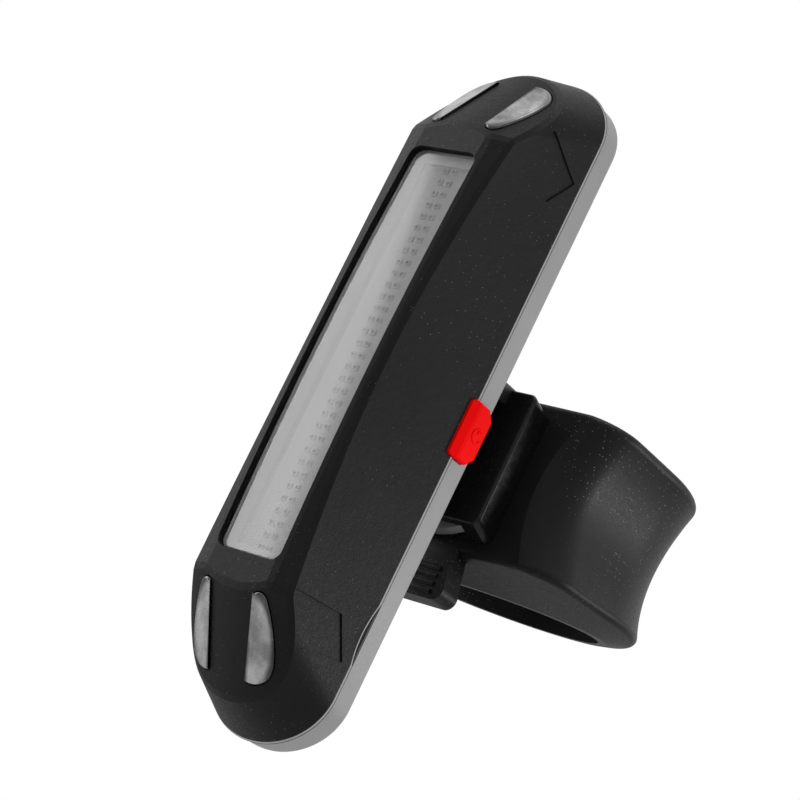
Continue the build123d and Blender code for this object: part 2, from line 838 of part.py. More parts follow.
# Bracket block: it drops towards the back, with a slot open at both ends and a notch for the shoulder
with BuildPart() as bracket_base:
    with BuildSketch(Plane.YZ.offset(-block_width / 2)):
        with BuildLine():
            Polyline(
                (at_depth(block_front), block_top), (at_depth(block_back), block_top - block_drop),
                (at_depth(block_back), block_bottom - block_drop), (at_depth(block_front), block_bottom),
                close=True,
            )
        make_face()
    extrude(amount=block_width)
    fillet(bracket_base.edges().group_by(SortBy.LENGTH)[0], block_corner)
    fillet(bracket_base.faces().sort_by(Axis.Y)[0].edges(), block_edge)
    slot_depth = clip_thickness + 2 * slide_gap
    slot = plate(clip_width + 2 * slide_gap, 2 * block_height, slot_front + slot_depth, slot_front)
    add(slot, mode=Mode.SUBTRACT)
    notch_height = clip_shoulder + overrun
    shoulder_notch = plate(
        clip_base_width + 2 * slide_gap, notch_height, tongue_front, block_front - overrun,
        0, notch_floor + notch_height / 2,
    )
    add(shoulder_notch, mode=Mode.SUBTRACT)
    add(bracket_foot(0))


def saddle_outline(half, centre):
    """Section of the strap: flat at the block, straight sides and round behind the seat post."""
    front = at_depth(block_back - front_overlap)
    shoulder = front + rim_shoulder
    with BuildSketch() as outline:
        with BuildLine():
            Line((rim_shoulder - half, front), (half - rim_shoulder, front))
            CenterArc((half - rim_shoulder, shoulder), rim_shoulder, -90, 90)
            Line((half, shoulder), (half, centre))
            CenterArc((0, centre), half, 0, 90)
            CenterArc((0, centre), half, 90, 90)
            Line((-half, centre), (-half, shoulder))
            CenterArc((rim_shoulder - half, shoulder), rim_shoulder, 180, 90)
        make_face()
    return outline.sketch


def collar_outline(radius):
    """Round end of the strap's collar, divided like the section of the strap."""
    front, shoulder = collar_front_angle, collar_shoulder_angle
    side = 90 - front - shoulder
    with BuildSketch() as outline:
        with BuildLine():
            CenterArc((0, 0), radius, -90 - front, 2 * front)
            CenterArc((0, 0), radius, front - 90, shoulder)
            CenterArc((0, 0), radius, -side, side)
            CenterArc((0, 0), radius, 0, 90)
            CenterArc((0, 0), radius, 90, 90)
            CenterArc((0, 0), radius, 180, side)
            CenterArc((0, 0), radius, 180 + side, shoulder)
        make_face()
    return outline.sketch


# Strap: a waisted rubber saddle with flared rims, a collar at both ends and the pull tab in front
lower_rim = Plane(origin=(0, 0, lower_rim_level), x_dir=(1, 0, 0), z_dir=(0, -lower_rim_slope, 1))
lower_collar = Plane(origin=(0, 0, lower_collar_level), x_dir=(1, 0, 0), z_dir=(0, -lower_collar_slope, 1))
with BuildPart() as rubber_strap:
    with BuildSketch(Plane.XY.offset(rim_level)):
        add(saddle_outline(rim_half, rim_centre))
    with BuildSketch(Plane.XY.offset(waist_level)):
        add(saddle_outline(waist_half, waist_centre))
    with BuildSketch(lower_rim):
        add(saddle_outline(rim_half, rim_centre))
    loft()
    with BuildSketch(Plane.XY.offset(rim_level)):
        add(saddle_outline(rim_half, rim_centre))
    with BuildSketch(Plane.XY.offset(collar_level)):
        add(collar_outline(collar_radius))
    loft(ruled=True)
    with BuildSketch(lower_rim):
        add(saddle_outline(rim_half, rim_centre))
    with BuildSketch(lower_collar):
        add(collar_outline(collar_radius))
    loft(ruled=True)
    add(plate(3 * rim_half, 3 * rim_half, block_back, block_front), mode=Mode.SUBTRACT)
    add(bracket_foot(fit_gap), mode=Mode.SUBTRACT)
    Cylinder(post_radius, 3 * rim_half, mode=Mode.SUBTRACT)
    with BuildSketch(depth_plane(tab_front + tab_thickness)) as tab_face:
        with BuildLine():
            Polyline(
                (tab_root_width / 2, tab_top), (-tab_root_width / 2, tab_top),
                (-tab_width / 2, tab_bottom), (tab_width / 2, tab_bottom), close=True,
            )
        make_face()
        fillet(tab_face.vertices().group_by(Axis.Y)[0], tab_corner)
    extrude(amount=tab_thickness)
    step = plate(
        tab_width, tab_top - tab_step, tab_front + tab_setback, tab_front, 0, (tab_top + tab_step) / 2,
    )
    add(step, mode=Mode.SUBTRACT)
    for rib in range(tab_ribs):
        rib_level = tab_rib_level - rib * tab_rib_pitch
        with BuildSketch(Plane.YZ.offset(-tab_root_width / 2)):
            with Locations((at_depth(tab_front + tab_rib_radius - tab_rib_proud), rib_level)):
                Circle(tab_rib_radius)
        extrude(amount=tab_root_width)
    upper_rim = rubber_strap.edges().filter_by(lambda edge: abs(edge.center().Z - rim_level) < fit_gap)
    fillet(upper_rim, rim_edge)
    under_rim = lower_rim.to_local_coords
    fillet(
        rubber_strap.edges().filter_by(lambda edge: abs(under_rim(edge.center()).Z) < fit_gap), rim_edge,
    )

pieces = {
    "front_shell": front_shell.part,
    "window_lens": window_lens.part,
    "light_tray": light_tray.part,
    "led_board": led_board.part,
    "led_chips": led_chips.part,
    "battery_pad": battery_pad.part,
    "battery": battery.part,
    "case_seal": case_seal.part,
    "rear_shell": rear_shell.part,
    "power_button": power_button.part,
    "switch_body": switch_body.part,
    "switch_plunger": switch_plunger.part,
    "main_board": main_board.part,
    "controller_chip": controller_chip.part,
    "charge_led": charge_led.part,
    "board_parts": board_parts.part,
    "usb_socket": usb_socket.part,
    "usb_cover": usb_cover.part,
    "led_leads": led_leads.part,
    "battery_leads": battery_leads.part,
    "case_screws": case_screws,
    "clip_screws": clip_screws,
    "board_screws": board_screws,
    "mount_clip": mount_clip.part,
    "bracket_base": bracket_base.part,
    "rubber_strap": rubber_strap.part,
}
pieces.update(inlays)
for piece_name, piece in pieces.items():
    piece.label = piece_name
    export_step(piece, "parts/" + piece_name + ".step")
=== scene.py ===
"""Bike rear light in its strap bracket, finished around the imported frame."""
import json
import math

import bpy
from bpy.props import FloatProperty, FloatVectorProperty, PointerProperty
from bpy.types import NodeSocket, Operator, Panel, PropertyGroup
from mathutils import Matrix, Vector

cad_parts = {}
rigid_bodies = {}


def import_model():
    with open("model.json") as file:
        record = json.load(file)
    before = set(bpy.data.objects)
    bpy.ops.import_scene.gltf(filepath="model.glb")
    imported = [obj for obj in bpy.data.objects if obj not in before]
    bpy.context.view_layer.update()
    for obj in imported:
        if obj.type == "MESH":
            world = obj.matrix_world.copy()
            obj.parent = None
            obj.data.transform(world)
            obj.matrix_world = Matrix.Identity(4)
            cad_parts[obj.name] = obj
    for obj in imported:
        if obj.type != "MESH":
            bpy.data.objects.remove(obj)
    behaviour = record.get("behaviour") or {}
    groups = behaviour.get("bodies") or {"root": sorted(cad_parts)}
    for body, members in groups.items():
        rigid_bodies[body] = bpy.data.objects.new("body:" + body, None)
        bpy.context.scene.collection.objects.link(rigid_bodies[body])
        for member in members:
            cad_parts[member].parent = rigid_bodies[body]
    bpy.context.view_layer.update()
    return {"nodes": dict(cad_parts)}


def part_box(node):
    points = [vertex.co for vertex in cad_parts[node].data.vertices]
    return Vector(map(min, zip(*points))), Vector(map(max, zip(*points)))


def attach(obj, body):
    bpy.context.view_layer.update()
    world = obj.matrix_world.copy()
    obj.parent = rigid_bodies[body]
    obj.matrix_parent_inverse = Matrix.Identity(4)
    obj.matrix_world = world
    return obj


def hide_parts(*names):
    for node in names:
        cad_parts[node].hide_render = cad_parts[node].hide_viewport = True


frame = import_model()
NODES = frame["nodes"]

bl_info = {
    "name": "Bike rear light",
    "version": (1, 0, 0),
    "blender": (4, 5, 0),
    "location": "3D View > Sidebar > Rear light",
    "description": "Finishes the pieces of a bike rear light and its strap bracket",
    "category": "Object",
}

MM = 0.001

# Places that come from the frame
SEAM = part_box("front_shell")[1].y
CHIPS_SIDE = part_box("led_chips")[1].x
INLAY_LOW, INLAY_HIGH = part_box("inlay_top_right")
BUTTON_LOW, BUTTON_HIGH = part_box("power_button")

# Most values of a noise texture lie between these
NOISE_LOW, NOISE_HIGH = 0.35, 0.65


def colour(title, words, value):
    return FloatVectorProperty(name=title, description=words, default=value, subtype="COLOR", size=3, min=0, max=1)


def length(title, words, value):
    """Length property, its default given in millimetres."""
    return FloatProperty(name=title, description=words, default=value * MM, unit="LENGTH", min=0)


def point(title, words, value):
    """Place of a lamp or the camera, in metres."""
    return FloatVectorProperty(name=title, description=words, default=value, subtype="XYZ", unit="LENGTH", size=3)


def turn(title, words, value):
    """Turn of a lamp or the camera, its default given in degrees."""
    angles = [math.radians(angle) for angle in value]
    return FloatVectorProperty(name=title, description=words, default=angles, subtype="EULER", unit="ROTATION", size=3)


def power(title, words, value):
    return FloatProperty(name=title, description=words, default=value, unit="POWER", min=0)


class RearLightColours(PropertyGroup):
    """Colours of the light, its bracket and what is inside."""

    shell: colour("Shell", "Black moulded front shell", (0.0085, 0.0085, 0.0086))
    # Skirt edge: painted highlight, a pale line on the shell's edge along the seam
    skirt_highlight: colour("Skirt edge", "Painted highlight on the front shell's edge along the seam", (0.32, 0.32, 0.32))
    band: colour("Band", "Grey rear shell that shows as the band", (0.26, 0.26, 0.261))
    seal: colour("Seal", "Rubber seal in the seam", (0.006, 0.006, 0.006))
    clip: colour("Clip", "Grey clip on the back", (0.13, 0.13, 0.131))
    cover: colour("Socket cover", "Rubber cover of the charging socket", (0.15, 0.15, 0.152))
    button: colour("Button", "Red silicone button", (0.82, 0.003, 0.003))
    inlay: colour("Inlay", "Metallised inlays on the lobes", (0.27, 0.27, 0.272))
    # Inlay rim: painted shade that darkens the inlays towards their rims
    inlay_rim_shade: colour("Inlay rim", "Painted shade on the inlays towards their rims", (0.03, 0.03, 0.03))
    lens: colour("Lens", "Tint of the clear window", (0.857, 0.857, 0.857))
    tray: colour("Tray", "White tray behind the window", (0.38, 0.38, 0.38))
    strip: colour("Strip", "White board of the light strip", (0.31, 0.31, 0.31))
    chips: colour("Chips", "Light chips on the strip", (0.28, 0.28, 0.28))
    dots: colour("Dots", "Dark middle of the light chips", (0.012, 0.012, 0.012))
    block: colour("Block", "Glossy block of the bracket", (0.006, 0.006, 0.0061))
    strap: colour("Strap", "Black rubber of the strap", (0.008, 0.008, 0.008))
    dust: colour("Dust", "Fine dust on the shell and the rubber", (0.2, 0.2, 0.2))
    steel: colour("Steel", "Plated steel of the screws and the socket", (0.5, 0.5, 0.51))


class RearLightSizes(PropertyGroup):
    """Sizes of the details that are modelled or painted on the frame."""

    # Width and place of the painted highlight along the seam
    skirt_highlight_width: length("Skirt line", "Width of the painted highlight along the seam", 0.28)
    skirt_highlight_inset: length("Skirt inset", "Distance from the seam to the middle of the painted highlight", 0.22)
    chip_size: length("Chip size", "Side of a light chip", 0.75)
    chip_pitch: length("Chip pitch", "Distance from one light chip to the next along the strip", 1.75)
    dot_radius: length("Dot radius", "Radius of the dark middle of a light chip", 0.29)
    # Level of the painted shade on the clip's upper part
    clip_shade_level: length("Clip shoulder", "Level above which the clip is painted the block's black as shade", 6.0)
    symbol_radius: length("Symbol radius", "Radius of the ring on the button", 0.95)
    symbol_line: length("Symbol line", "Thickness of the raised line on the button", 0.16)
    symbol_inset: length("Symbol inset", "Distance from the button's rear edge to the middle of the symbol", 1.8)
    symbol_gap: FloatProperty(
        name="Symbol gap", description="Open angle of the ring on the button", default=math.radians(75),
        subtype="ANGLE", min=0,
    )
    screw_head_radius: length("Screw head radius", "Radius of the screw heads", 1.75)
    screw_head_height: length("Screw head height", "Height of the screw heads", 1.3)
    screw_radius: length("Screw radius", "Radius of the screws' shanks", 1.0)
    recess_length: length("Recess length", "Length of the cross recess in a screw head", 2.1)
    recess_width: length("Recess width", "Width of the cross recess in a screw head", 0.5)
    recess_depth: length("Recess depth", "Depth of the cross recess in a screw head", 0.7)


class RearLightStage(PropertyGroup):
    """Floor, light and camera."""

    floor_level: FloatProperty(name="Floor level", description="Height of the floor", default=-0.23, unit="LENGTH")
    floor_size: FloatProperty(name="Floor size", description="Side of the floor", default=8.0, unit="LENGTH", min=0)
    ambient: FloatProperty(name="Ambient", description="Strength of the light from all round", default=0.5, min=0)
    key_power: power("Key power", "Power of the large soft light", 1.8)
    key_place: point("Key place", "Place of the large soft light", (-0.3733, -0.2496, 0.1013))
    key_turn: turn("Key turn", "Turn of the large soft light", (80.407, -8.71, -42.609))
    side_power: power("Side power", "Power of the light beside the band", 0.8)
    side_place: point("Side place", "Place of the light beside the band", (0.286, 0.2055, 0.01))
    side_target: point("Side target", "Where the light beside the band shines at", (0.015, -0.02, 0.0))
    top_power: power("Top power", "Power of the light above", 2.0)
    top_place: point("Top place", "Place of the light above", (0.05, -0.1, 0.7))
    focal: FloatProperty(name="Focal length", description="Focal length of the camera", default=126.862, unit="CAMERA")
    camera_place: point("Camera place", "Place of the camera", (0.247427, -0.302842, -0.09225))
    camera_turn: turn("Camera turn", "Turn of the camera", (105.6997, -25.2127, 36.3026))


# Nodes


FLOAT, VECTOR, COLOUR = "NodeSocketFloat", "NodeSocketVector", "NodeSocketColor"


def node(tree, kind, links=None, **settings):
    """Adds a node, sets its properties and values, and links its inputs."""
    made = tree.nodes.new(kind)
    for key, value in settings.items():
        if hasattr(made, key):
            setattr(made, key, value)
        else:
            made.inputs[key.replace("_", " ")].default_value = value
    for key, socket in (links or {}).items():
        tree.links.new(socket, made.inputs[key])
    return made


def axes(tree):
    """Separate X, Y and Z of the object's own coordinates."""
    vector = next(item for item in tree.nodes if item.type == "TEX_COORD").outputs["Object"]
    return node(tree, "ShaderNodeSeparateXYZ", {"Vector": vector}).outputs


def steps(tree, value, *operations):
    """Chain of Math nodes on one value, each an operation and its other inputs."""
    for kind, *numbers in operations:
        made = node(tree, "ShaderNodeMath", {0: value}, operation=kind)
        for place, number in enumerate(numbers, start=1):
            made.inputs[place].default_value = number
        value = made.outputs[0]
    return value


def combine(tree, kind, first, second):
    """Math node on two values."""
    return node(tree, "ShaderNodeMath", {0: first, 1: second}, operation=kind).outputs[0]


def squares(tree, first, second):
    """Sum of the squares of two values, for round masks."""
    return combine(tree, "ADD", steps(tree, first, ("POWER", 2.0)), steps(tree, second, ("POWER", 2.0)))


def blend(tree, factor, low, high):
    """Mixes two colours, each of them a socket or a plain colour."""
    mix = node(tree, "ShaderNodeMix", {"Factor": factor}, data_type="RGBA")
    for place, tone in ((6, low), (7, high)):
        if isinstance(tone, NodeSocket):
            tree.links.new(tone, mix.inputs[place])
        else:
            mix.inputs[place].default_value = [*tone, 1]
    return mix.outputs[2]


def new_group(name, inputs, outputs):
    """Node group with these named inputs and outputs, and its two end nodes' sockets."""
    group = bpy.data.node_groups.new(name, "ShaderNodeTree")
    for title, kind, value in inputs:
        socket = group.interface.new_socket(title, in_out="INPUT", socket_type=kind)
        if value is not None:
            socket.default_value = value
    for title, kind in outputs:
        group.interface.new_socket(title, in_out="OUTPUT", socket_type=kind)
    source = group.nodes.new("NodeGroupInput").outputs
    result = group.nodes.new("NodeGroupOutput").inputs
    return group, source, result


def make_colour_drift():
    """Slow change between two close colours, as pigment and handling leave it."""
    inputs = [("Vector", VECTOR, None), ("Scale", FLOAT, 60.0), ("Low", COLOUR, None), ("High", COLOUR, None)]
    group, source, result = new_group("Colour drift", inputs, [("Color", COLOUR)])
    noise = node(
        group, "ShaderNodeTexNoise", {"Vector": source["Vector"], "Scale": source["Scale"]},
        Detail=4.0, Roughness=0.6,
    )
    share = node(
        group, "ShaderNodeMapRange", {"Value": noise.outputs["Fac"]}, From_Min=NOISE_LOW, From_Max=NOISE_HIGH,
    )
    tint = blend(group, share.outputs["Result"], source["Low"], source["High"])
    group.links.new(tint, result["Color"])
    return group


def make_moulded_grain():
    """Fine grain of a spark-eroded mould: a height, and a roughness that goes with it."""
    inputs = [("Vector", VECTOR, None), ("Scale", FLOAT, 4000.0), ("Smooth", FLOAT, 0.4), ("Rough", FLOAT, 0.6)]
    group, source, result = new_group("Moulded grain", inputs, [("Height", FLOAT), ("Roughness", FLOAT)])
    fine = node(
        group, "ShaderNodeTexNoise", {"Vector": source["Vector"], "Scale": source["Scale"]},
        Detail=3.0, Roughness=0.65,
    ).outputs["Fac"]
    coarse = steps(group, source["Scale"], ("MULTIPLY", 0.3))
    cells = node(
        group, "ShaderNodeTexVoronoi", {"Vector": source["Vector"], "Scale": coarse}, feature="SMOOTH_F1",
    )
    height = combine(group, "ADD", steps(group, cells.outputs["Distance"], ("MULTIPLY", 0.5)), fine)
    links = {"Value": fine, "To Min": source["Smooth"], "To Max": source["Rough"]}
    roughness = node(group, "ShaderNodeMapRange", links, From_Min=NOISE_LOW, From_Max=NOISE_HIGH)
    group.links.new(height, result["Height"])
    group.links.new(roughness.outputs["Result"], result["Roughness"])
    return group


def make_dust_specks():
    """Scattered specks of dust, thicker in some places than in others."""
    inputs = [("Vector", VECTOR, None), ("Scale", FLOAT, 900.0), ("Size", FLOAT, 0.2), ("Amount", FLOAT, 0.3)]
    group, source, result = new_group("Dust specks", inputs, [("Mask", FLOAT)])
    cells = node(group, "ShaderNodeTexVoronoi", {"Vector": source["Vector"], "Scale": source["Scale"]})
    near = combine(group, "LESS_THAN", cells.outputs["Distance"], source["Size"])
    number = node(group, "ShaderNodeSeparateColor", {"Color": cells.outputs["Color"]}).outputs["Red"]
    chosen = combine(group, "LESS_THAN", number, source["Amount"])
    drift = node(group, "ShaderNodeTexNoise", {"Vector": source["Vector"]}, Scale=70.0, Detail=2.0)
    patch = node(group, "ShaderNodeMapRange", {"Value": drift.outputs["Fac"]}, From_Min=0.42, From_Max=0.6)
    specks = combine(group, "MULTIPLY", near, chosen)
    group.links.new(combine(group, "MULTIPLY", specks, patch.outputs["Result"]), result["Mask"])
    return group


# Materials


GROUPS = {}


def place_group(tree, name, vector, **values):
    """Places a shared node group in a material, with its own values, and gives its outputs."""
    made = tree.nodes.new("ShaderNodeGroup")
    made.node_tree = GROUPS[name]
    tree.links.new(vector, made.inputs["Vector"])
    for key, value in values.items():
        made.inputs[key].default_value = value
    return made.outputs


def finish(
    name, base, drift=0.12, drift_scale=60.0, grain=0.0, grain_scale=4000.0, smooth=0.4, rough=0.6,
    dust=None, dust_scale=900.0, dust_size=0.22, dust_amount=0.3, **shader_values,
):
    """Finish of one material: drifting colour, grain in the surface and, where asked, dust on it."""
    material = bpy.data.materials.new(name)
    material.use_nodes = True
    tree = material.node_tree
    tree.nodes.clear()
    shader = tree.nodes.new("ShaderNodeBsdfPrincipled")
    node(tree, "ShaderNodeOutputMaterial", {"Surface": shader.outputs["BSDF"]})
    vector = tree.nodes.new("ShaderNodeTexCoord").outputs["Object"]

    low, high = ([channel * share for channel in base] + [1] for share in (1 - drift, 1 + drift))
    tint = place_group(tree, "Colour drift", vector, Scale=drift_scale, Low=low, High=high)["Color"]
    surface = place_group(tree, "Moulded grain", vector, Scale=grain_scale, Smooth=smooth, Rough=rough)
    if dust:
        specks = place_group(tree, "Dust specks", vector, Scale=dust_scale, Size=dust_size, Amount=dust_amount)
        tint = blend(tree, specks["Mask"], tint, dust)
    tree.links.new(tint, shader.inputs["Base Color"])
    tree.links.new(surface["Roughness"], shader.inputs["Roughness"])
    if grain:
        bump = node(tree, "ShaderNodeBump", {"Height": surface["Height"]}, Strength=1.0, Distance=grain * MM)
        tree.links.new(bump.outputs["Normal"], shader.inputs["Normal"])
    for key, value in shader_values.items():
        shader.inputs[key.replace("_", " ")].default_value = value
    return material


def paint(material, mask, tone):
    """Lays another colour over a material's base colour where a mask is set."""
    tree = material.node_tree
    shader = next(item for item in tree.nodes if item.type == "BSDF_PRINCIPLED")
    base = shader.inputs["Base Color"].links[0].from_socket
    tree.links.new(blend(tree, mask, base, tone), shader.inputs["Base Color"])


def give(material, *names):
    """Gives CAD nodes a material."""
    for name in names:
        data = NODES[name].data
        data.materials.clear()
        data.materials.append(material)


# Modelling


def deselect():
    for item in bpy.context.view_layer.objects:
        item.select_set(False)


def select(*pieces):
    """Selects these pieces alone, the first of them active."""
    deselect()
    for piece in pieces:
        piece.select_set(True)
    bpy.context.view_layer.objects.active = pieces[0]


def settle(piece, name, body, material):
    """Applies the piece's place to its mesh, names it and lets it ride on its body."""
    select(piece)
    bpy.ops.object.transform_apply(location=True, rotation=True, scale=True)
    piece.name = name
    piece.data.name = name
    piece.data.materials.clear()
    piece.data.materials.append(material)
    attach(piece, body)
    return piece


def join(pieces):
    """Joins pieces into the first one."""
    select(*pieces)
    bpy.ops.object.join()
    return bpy.context.object


def apply_modifiers(piece):
    select(piece)
    for modifier in list(piece.modifiers):
        bpy.ops.object.modifier_apply(modifier=modifier.name)


def bevel(piece, width, segments=2, angle=30.0):
    """Rounds the edges that are sharper than an angle in degrees."""
    made = piece.modifiers.new("Edge", "BEVEL")
    made.width = width
    made.segments = segments
    made.limit_method = "ANGLE"
    made.angle_limit = math.radians(angle)
    apply_modifiers(piece)


def aimed(place, target):
    """Turn of a lamp that stands at a place and shines at a target."""
    return (Vector(target) - Vector(place)).to_track_quat("-Z", "Y").to_euler()


def stand(scene, data, place, turn):
    """Puts a lamp or the camera into the scene."""
    made = bpy.data.objects.new(data.name, data)
    made.location = place
    made.rotation_euler = turn
    scene.collection.objects.link(made)
    return made


# Operators


class RearLightOperator:
    """Shared by the operators: they can be undone, and read the scene's own sizes and colours."""

    bl_options = {"REGISTER", "UNDO"}

    @property
    def colours(self):
        return bpy.context.scene.rear_light_colours

    @property
    def sizes(self):
        return bpy.context.scene.rear_light_sizes

    @property
    def stage(self):
        return bpy.context.scene.rear_light_stage


class REARLIGHT_OT_effects(RearLightOperator, Operator):
    """Build the surface effects that several materials share"""

    bl_idname = "rearlight.effects"
    bl_label = "Shared effects"

    def execute(self, context):
        for group in (make_colour_drift(), make_moulded_grain(), make_dust_specks()):
            GROUPS[group.name] = group
        return {"FINISHED"}


class REARLIGHT_OT_stage(RearLightOperator, Operator):
    """Add the floor, the soft lights and the camera"""

    bl_idname = "rearlight.stage"
    bl_label = "Stage"

    def floor(self):
        deselect()
        bpy.ops.mesh.primitive_plane_add(size=self.stage.floor_size, location=(0, 0, self.stage.floor_level))
        floor = bpy.context.object
        floor.name = "floor"
        pale = finish(
            "Pale floor", (0.815, 0.815, 0.815), drift=0.0184, drift_scale=3.0, smooth=0.88, rough=0.92,
            Specular_IOR_Level=0.1,
        )
        floor.data.materials.append(pale)

    def surroundings(self, scene):
        """White where it is seen, mirrored or seen through glass, and a weaker light from all round."""
        scene.world = bpy.data.worlds.new("Studio")
        scene.world.use_nodes = True
        tree = scene.world.node_tree
        tree.nodes.clear()
        rays = tree.nodes.new("ShaderNodeLightPath").outputs
        seen = combine(tree, "MAXIMUM", rays["Is Camera Ray"], rays["Is Transmission Ray"])
        seen = combine(tree, "MAXIMUM", seen, rays["Is Glossy Ray"])
        strength = node(tree, "ShaderNodeMapRange", {"Value": seen}, To_Min=self.stage.ambient, To_Max=1.0)
        background = node(
            tree, "ShaderNodeBackground", {"Strength": strength.outputs["Result"]}, Color=(1, 1, 1, 1),
        )
        node(tree, "ShaderNodeOutputWorld", {"Surface": background.outputs["Background"]})

    def lamp(self, scene, name, shape, size, power, place, turn):
        data = bpy.data.lights.new(name, "AREA")
        data.shape = shape
        data.size, data.size_y = size
        data.energy = power
        return stand(scene, data, place, turn)

    def camera(self, scene):
        data = bpy.data.cameras.new("Camera")
        data.sensor_width = 36.0
        data.lens = self.stage.focal
        data.clip_start, data.clip_end = 0.01, 50
        scene.camera = stand(scene, data, self.stage.camera_place, self.stage.camera_turn)

    def execute(self, context):
        scene, stage = context.scene, self.stage
        scene.view_settings.view_transform = "Standard"
        self.floor()
        self.surroundings(scene)
        softbox = self.lamp(
            scene, "Softbox", "ELLIPSE", (0.26, 0.6), stage.key_power, stage.key_place, stage.key_turn,
        )
        softbox.visible_transmission = False
        self.lamp(
            scene, "Side light", "SQUARE", (0.12, 0.12), stage.side_power, stage.side_place,
            aimed(stage.side_place, stage.side_target),
        )
        self.lamp(
            scene, "Top light", "SQUARE", (0.5, 0.5), stage.top_power, stage.top_place,
            aimed(stage.top_place, (0, 0, 0)),
        )
        self.camera(scene)
        return {"FINISHED"}


class REARLIGHT_OT_front_shell(RearLightOperator, Operator):
    """Give the black front shell its moulded grain and a painted highlight line along the seam, where its edge would
    catch the light
    """

    bl_idname = "rearlight.front_shell"
    bl_label = "Front shell"

    def execute(self, context):
        colours, sizes = self.colours, self.sizes
        shell = finish(
            "Housing black", colours.shell, drift=0.15, grain=0.045, grain_scale=3600, smooth=0.38, rough=0.54,
            dust=colours.dust, dust_scale=4200, dust_amount=0.04, Specular_IOR_Level=0.08,
        )
        tree = shell.node_tree
        # Painted highlight: a thin pale line on the black shell along the seam, standing in for light caught by the
        # shell's rounded edge
        painted_highlight = steps(tree, axes(tree)["Y"], ("COMPARE", SEAM - sizes.skirt_highlight_inset, sizes.skirt_highlight_width / 2))
        paint(shell, painted_highlight, colours.skirt_highlight)
        give(shell, "front_shell")
        return {"FINISHED"}


class REARLIGHT_OT_window(RearLightOperator, Operator):
    """Finish the window, the light tray, the strip and its chips"""

    bl_idname = "rearlight.window"
    bl_label = "Window and light strip"

    def dots(self, tree):
        """Mask of a round dot in the middle of each chip of the two rows."""
        sizes, places = self.sizes, axes(tree)
        row, pitch = CHIPS_SIDE - sizes.chip_size / 2, sizes.chip_pitch
        across = steps(tree, places["X"], ("ABSOLUTE",), ("SUBTRACT", row))
        along = steps(tree, places["Z"], ("DIVIDE", pitch), ("WRAP", 0.5, -0.5), ("MULTIPLY", pitch))
        return steps(tree, squares(tree, across, along), ("LESS_THAN", sizes.dot_radius ** 2))

    def execute(self, context):
        colours = self.colours
        lens = finish(
            "Lens clear", colours.lens, drift=0.015, drift_scale=90, grain_scale=700, smooth=0.05, rough=0.055,
            Transmission_Weight=0.94, IOR=1.49,
        )
        tray = finish("Tray white", colours.tray, drift=0.05, smooth=0.4, rough=0.5)
        strip = finish("Strip white", colours.strip, drift=0.05, smooth=0.35, rough=0.45)
        chips = finish("Light chips", colours.chips, drift=0.05, smooth=0.3, rough=0.4)
        paint(chips, self.dots(chips.node_tree), colours.dots)
        give(lens, "window_lens")
        give(tray, "light_tray")
        give(strip, "led_board")
        give(chips, "led_chips", "charge_led")
        return {"FINISHED"}


class REARLIGHT_OT_inlays(RearLightOperator, Operator):
    """Finish the metallised inlays on the lobes, with painted shade towards their rims"""

    bl_idname = "rearlight.inlays"
    bl_label = "Inlays"

    # The outer edge of an inlay is near an ellipse, measured from the inlay's inner low corner
    arc_inset = 0.2 * MM
    arc_level = 5.8 * MM
    arc_height = 5.6 * MM
    arc_start = 0.68
    arc_gain = 3.0
    inner_rim = 0.55 * MM
    inner_fade = 0.5 * MM
    most = 0.85

    def rim_shade_mask(self, tree):
        """Mask of painted shade that grows towards the arc and towards the straight inner edge of each inlay, where a
        domed rim would show dark reflections.
        """
        places = axes(tree)
        middle_x, middle_z = INLAY_LOW.x + self.arc_inset, INLAY_LOW.z + self.arc_level
        side = steps(tree, places["X"], ("ABSOLUTE",))
        across = steps(tree, side, ("SUBTRACT", middle_x), ("DIVIDE", INLAY_HIGH.x - middle_x))
        along = steps(tree, places["Z"], ("ABSOLUTE",), ("SUBTRACT", middle_z), ("DIVIDE", self.arc_height))
        arc = steps(tree, squares(tree, across, along), ("SUBTRACT", self.arc_start), ("MULTIPLY", self.arc_gain))
        inner = steps(tree, side, ("SUBTRACT", INLAY_LOW.x + self.inner_rim), ("DIVIDE", -self.inner_fade))
        return steps(tree, combine(tree, "MAXIMUM", arc, inner), ("MAXIMUM", 0.0), ("MINIMUM", self.most))

    def execute(self, context):
        silver = finish(
            "Inlay silver", self.colours.inlay, drift=0.4, drift_scale=260, grain=0.003, grain_scale=1800,
            smooth=0.2, rough=0.32, Metallic=1.0,
        )
        # Painted shade: the inlays are darkened towards their rims, standing in for the dark pocket walls reflected in
        # a domed rim
        paint(silver, self.rim_shade_mask(silver.node_tree), self.colours.inlay_rim_shade)
        give(silver, "inlay_top_left", "inlay_top_right", "inlay_bottom_left", "inlay_bottom_right")
        return {"FINISHED"}


class REARLIGHT_OT_rear_shell(RearLightOperator, Operator):
    """Finish the grey rear shell, the seal, the socket cover and the clip, whose upper part is painted dark as shade
    """

    bl_idname = "rearlight.rear_shell"
    bl_label = "Rear shell and clip"

    def execute(self, context):
        colours = self.colours
        band = finish(
            "Band grey", colours.band, drift=0.05, grain=0.006, grain_scale=5000, smooth=0.42, rough=0.52,
            Specular_IOR_Level=0.15,
        )
        clip = finish("Clip grey", colours.clip, drift=0.05, grain=0.01, grain_scale=4500, smooth=0.4, rough=0.5)
        tree = clip.node_tree
        # Painted shade: the clip above this level takes the block's black, where it sits in shade between the rear
        # shell and the block
        paint(clip, steps(tree, axes(tree)["Z"], ("GREATER_THAN", self.sizes.clip_shade_level)), colours.block)
        give(band, "rear_shell")
        give(clip, "mount_clip")
        give(finish("Cover rubber", colours.cover, drift=0.06, grain=0.01, smooth=0.6, rough=0.75), "usb_cover")
        give(finish("Seal rubber", colours.seal, drift=0.1, smooth=0.6, rough=0.8), "case_seal")
        return {"FINISHED"}


